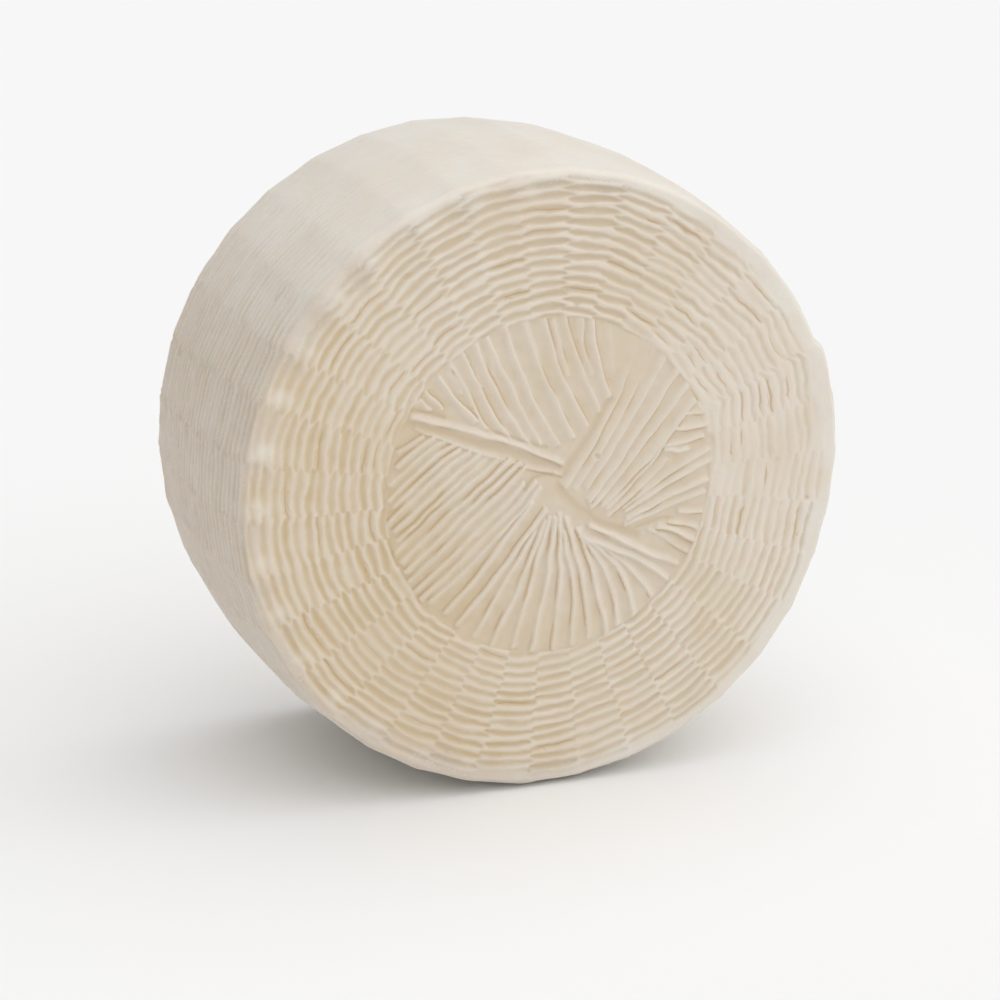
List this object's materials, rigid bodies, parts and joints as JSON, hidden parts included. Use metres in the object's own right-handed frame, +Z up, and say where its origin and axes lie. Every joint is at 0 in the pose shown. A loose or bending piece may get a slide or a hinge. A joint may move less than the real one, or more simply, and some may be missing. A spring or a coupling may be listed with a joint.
{
  "type": "wheel of fresh basket-moulded cheese",
  "caption": "Thick round wheel of pale fresh sheep's cheese standing on its rim, with a basket's weave moulded into its faces and side.",
  "frame": {"origin": "under the middle of the wheel, on the flat spot of its rim that it rests on", "axes": "+Z up, +Y along the wheel's axis from the shown face to the back face, +X to the right as seen from the shown face"},
  "size_m": [0.2898, 0.1522, 0.2875],
  "materials": {
    "cheese_surface": "satin, pale cream, slightly moist and softly translucent"
  },
  "bodies": {
    "root": {"cheese_wheel": "cheese_surface"}
  },
  "joints": []
}
